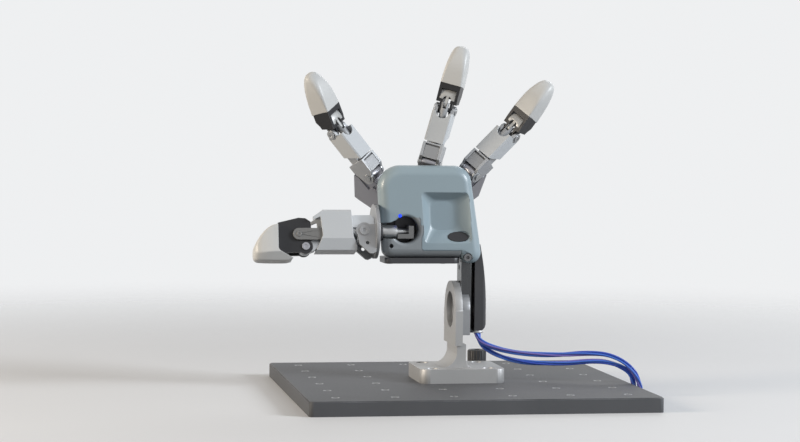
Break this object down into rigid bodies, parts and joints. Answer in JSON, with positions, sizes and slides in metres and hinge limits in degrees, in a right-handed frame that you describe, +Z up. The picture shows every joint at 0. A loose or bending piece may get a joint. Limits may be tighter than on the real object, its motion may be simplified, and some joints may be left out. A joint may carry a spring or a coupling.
{
  "type": "robot hand",
  "caption": "Robot hand with spread fingers and a thumb, on a wrist post and an angle bracket that stands on a drilled base plate.",
  "frame": {"origin": "centre of the base plate's underside", "axes": "+Z up, +X towards the side that the wires leave by, -Y towards the palm side"},
  "size_m": [0.3511, 0.3235, 0.31],
  "materials": {
    "plate_anodised": "anodised, satin",
    "bracket_blasted": "bead-blasted, matt",
    "bright_metal": "fine-brushed, bright",
    "dark_metal": "dark anodised, satin",
    "grey_metal": "satin",
    "shell_blue_grey": "satin",
    "panel_grey": "satin",
    "cap_white": "satin",
    "black_plastic": "satin",
    "window_black": "gloss",
    "light_blue": "gloss, lit",
    "wire_blue": "satin"
  },
  "bodies": {
    "stand": {"base_plate": "plate_anodised", "stand_bracket": "bracket_blasted", "cap_screws": "bright_metal", "stop_knob": "dark_metal", "wrist_flange": "grey_metal", "wrist_post": "bright_metal", "wrist_cover": "black_plastic", "wire_gland": "bright_metal", "palm_chassis": "grey_metal", "palm_cover": "shell_blue_grey", "lower_panel": "panel_grey", "back_cover": "shell_blue_grey", "bottom_plate": "black_plastic", "camera_window": "window_black", "status_light": "light_blue", "thumb_mount": "grey_metal", "thumb_bushing": "black_plastic", "upper_wires": "wire_blue", "lower_wires": "wire_blue", "wire_plug": "black_plastic"},
    "index_base": {"index_carrier": "dark_metal", "index_knuckle_pin": "bright_metal"},
    "index_middle": {"index_frame": "bright_metal", "index_actuator": "grey_metal", "index_shell": "cap_white", "index_hinge_pin": "bright_metal"},
    "index_rod": {"index_push_rod": "bright_metal"},
    "index_tip": {"index_fork": "black_plastic", "index_horn": "bright_metal", "index_cap": "cap_white"},
    "middle_base": {"middle_carrier": "dark_metal", "middle_knuckle_pin": "bright_metal"},
    "middle_middle": {"middle_frame": "bright_metal", "middle_actuator": "grey_metal", "middle_shell": "cap_white", "middle_hinge_pin": "bright_metal"},
    "middle_rod": {"middle_push_rod": "bright_metal"},
    "middle_tip": {"middle_fork": "black_plastic", "middle_horn": "bright_metal", "middle_cap": "cap_white"},
    "ring_base": {"ring_carrier": "dark_metal", "ring_knuckle_pin": "bright_metal"},
    "ring_middle": {"ring_frame": "bright_metal", "ring_actuator": "grey_metal", "ring_shell": "cap_white", "ring_hinge_pin": "bright_metal"},
    "ring_rod": {"ring_push_rod": "bright_metal"},
    "ring_tip": {"ring_fork": "black_plastic", "ring_horn": "bright_metal", "ring_cap": "cap_white"},
    "thumb_base": {"thumb_shaft": "bright_metal", "thumb_yoke": "grey_metal", "thumb_block": "grey_metal", "thumb_knuckle_pin": "bright_metal"},
    "thumb_middle": {"thumb_frame": "bright_metal", "thumb_shell": "cap_white", "thumb_hinge_pin": "bright_metal"},
    "thumb_slider": {"thumb_link": "bright_metal"},
    "thumb_tip": {"thumb_fork": "black_plastic", "thumb_cap": "cap_white"}
  },
  "joints": [
    {"name": "index_splay", "type": "hinge", "parent": "stand", "child": "index_base", "pos_m": [-0.0641, 0.005, 0.18299], "axis": [0, -1, 0], "range_deg": [-10, 12]},
    {"name": "index_knuckle", "type": "hinge", "parent": "index_base", "child": "index_middle", "pos_m": [-0.0748, 0.005, 0.1962], "axis": [0.6124, 0.6157, 0.4959], "range_deg": [-10, 50]},
    {"name": "index_hinge", "type": "hinge", "parent": "index_middle", "child": "index_tip", "pos_m": [-0.10691, 0.00658, 0.23389], "axis": [0.6124, 0.6157, 0.4959], "range_deg": [-24, 46]},
    {"name": "index_rod_slide", "type": "slide", "parent": "index_middle", "child": "index_rod", "axis": [-0.6293, 0, 0.7771], "range_m": [-0.00484, 0.00254]},
    {"name": "middle_splay", "type": "hinge", "parent": "stand", "child": "middle_base", "pos_m": [-0.0281, 0.005, 0.18963], "axis": [0, 1, 0], "range_deg": [-9, 5]},
    {"name": "middle_knuckle", "type": "hinge", "parent": "middle_base", "child": "middle_middle", "pos_m": [-0.0235, 0.005, 0.206], "axis": [0.9023, -0.3486, -0.2536], "range_deg": [-10, 35]},
    {"name": "middle_hinge", "type": "hinge", "parent": "middle_middle", "child": "middle_tip", "pos_m": [-0.00943, 0.00687, 0.25346], "axis": [0.9023, -0.3486, -0.2536], "range_deg": [-9, 61]},
    {"name": "middle_rod_slide", "type": "slide", "parent": "middle_middle", "child": "middle_rod", "axis": [0.2706, 0, 0.9627], "range_m": [-0.00641, 0.00097]},
    {"name": "ring_splay", "type": "hinge", "parent": "stand", "child": "ring_base", "pos_m": [0.00176, 0.005, 0.1866], "axis": [0, 1, 0], "range_deg": [-10, 12]},
    {"name": "ring_knuckle", "type": "hinge", "parent": "ring_base", "child": "ring_middle", "pos_m": [0.0137, 0.005, 0.1987], "axis": [0.5716, -0.5962, -0.5637], "range_deg": [-10, 50]},
    {"name": "ring_hinge", "type": "hinge", "parent": "ring_middle", "child": "ring_tip", "pos_m": [0.04931, 0.00661, 0.23311], "axis": [0.5716, -0.5962, -0.5637], "range_deg": [-19, 51]},
    {"name": "ring_rod_slide", "type": "slide", "parent": "ring_middle", "child": "ring_rod", "axis": [0.7022, 0, 0.712], "range_m": [-0.00537, 0.00201]},
    {"name": "thumb_rotation", "type": "hinge", "parent": "stand", "child": "thumb_base", "pos_m": [-0.07, -0.013, 0.1453], "axis": [1, 0, 0], "range_deg": [-20, 70]},
    {"name": "thumb_knuckle", "type": "hinge", "parent": "thumb_base", "child": "thumb_middle", "pos_m": [-0.087, -0.01404, 0.14314], "axis": [0, 0.9659, -0.2588], "range_deg": [-8, 40]},
    {"name": "thumb_hinge", "type": "hinge", "parent": "thumb_middle", "child": "thumb_tip", "pos_m": [-0.138, -0.0174, 0.13058], "axis": [0, 0.9659, -0.2588], "range_deg": [-10, 50]},
    {"name": "thumb_link_slide", "type": "slide", "parent": "thumb_middle", "child": "thumb_slider", "axis": [-1, 0, 0], "range_m": [-0.01006, 0.00203]}
  ],
  "couplings": [
    {"joint": "index_rod_slide", "follows": "index_hinge", "m_per_rad": -0.006},
    {"joint": "middle_rod_slide", "follows": "middle_hinge", "m_per_rad": -0.006},
    {"joint": "ring_rod_slide", "follows": "ring_hinge", "m_per_rad": -0.006},
    {"joint": "thumb_link_slide", "follows": "thumb_hinge", "m_per_rad": -0.0115}
  ]
}
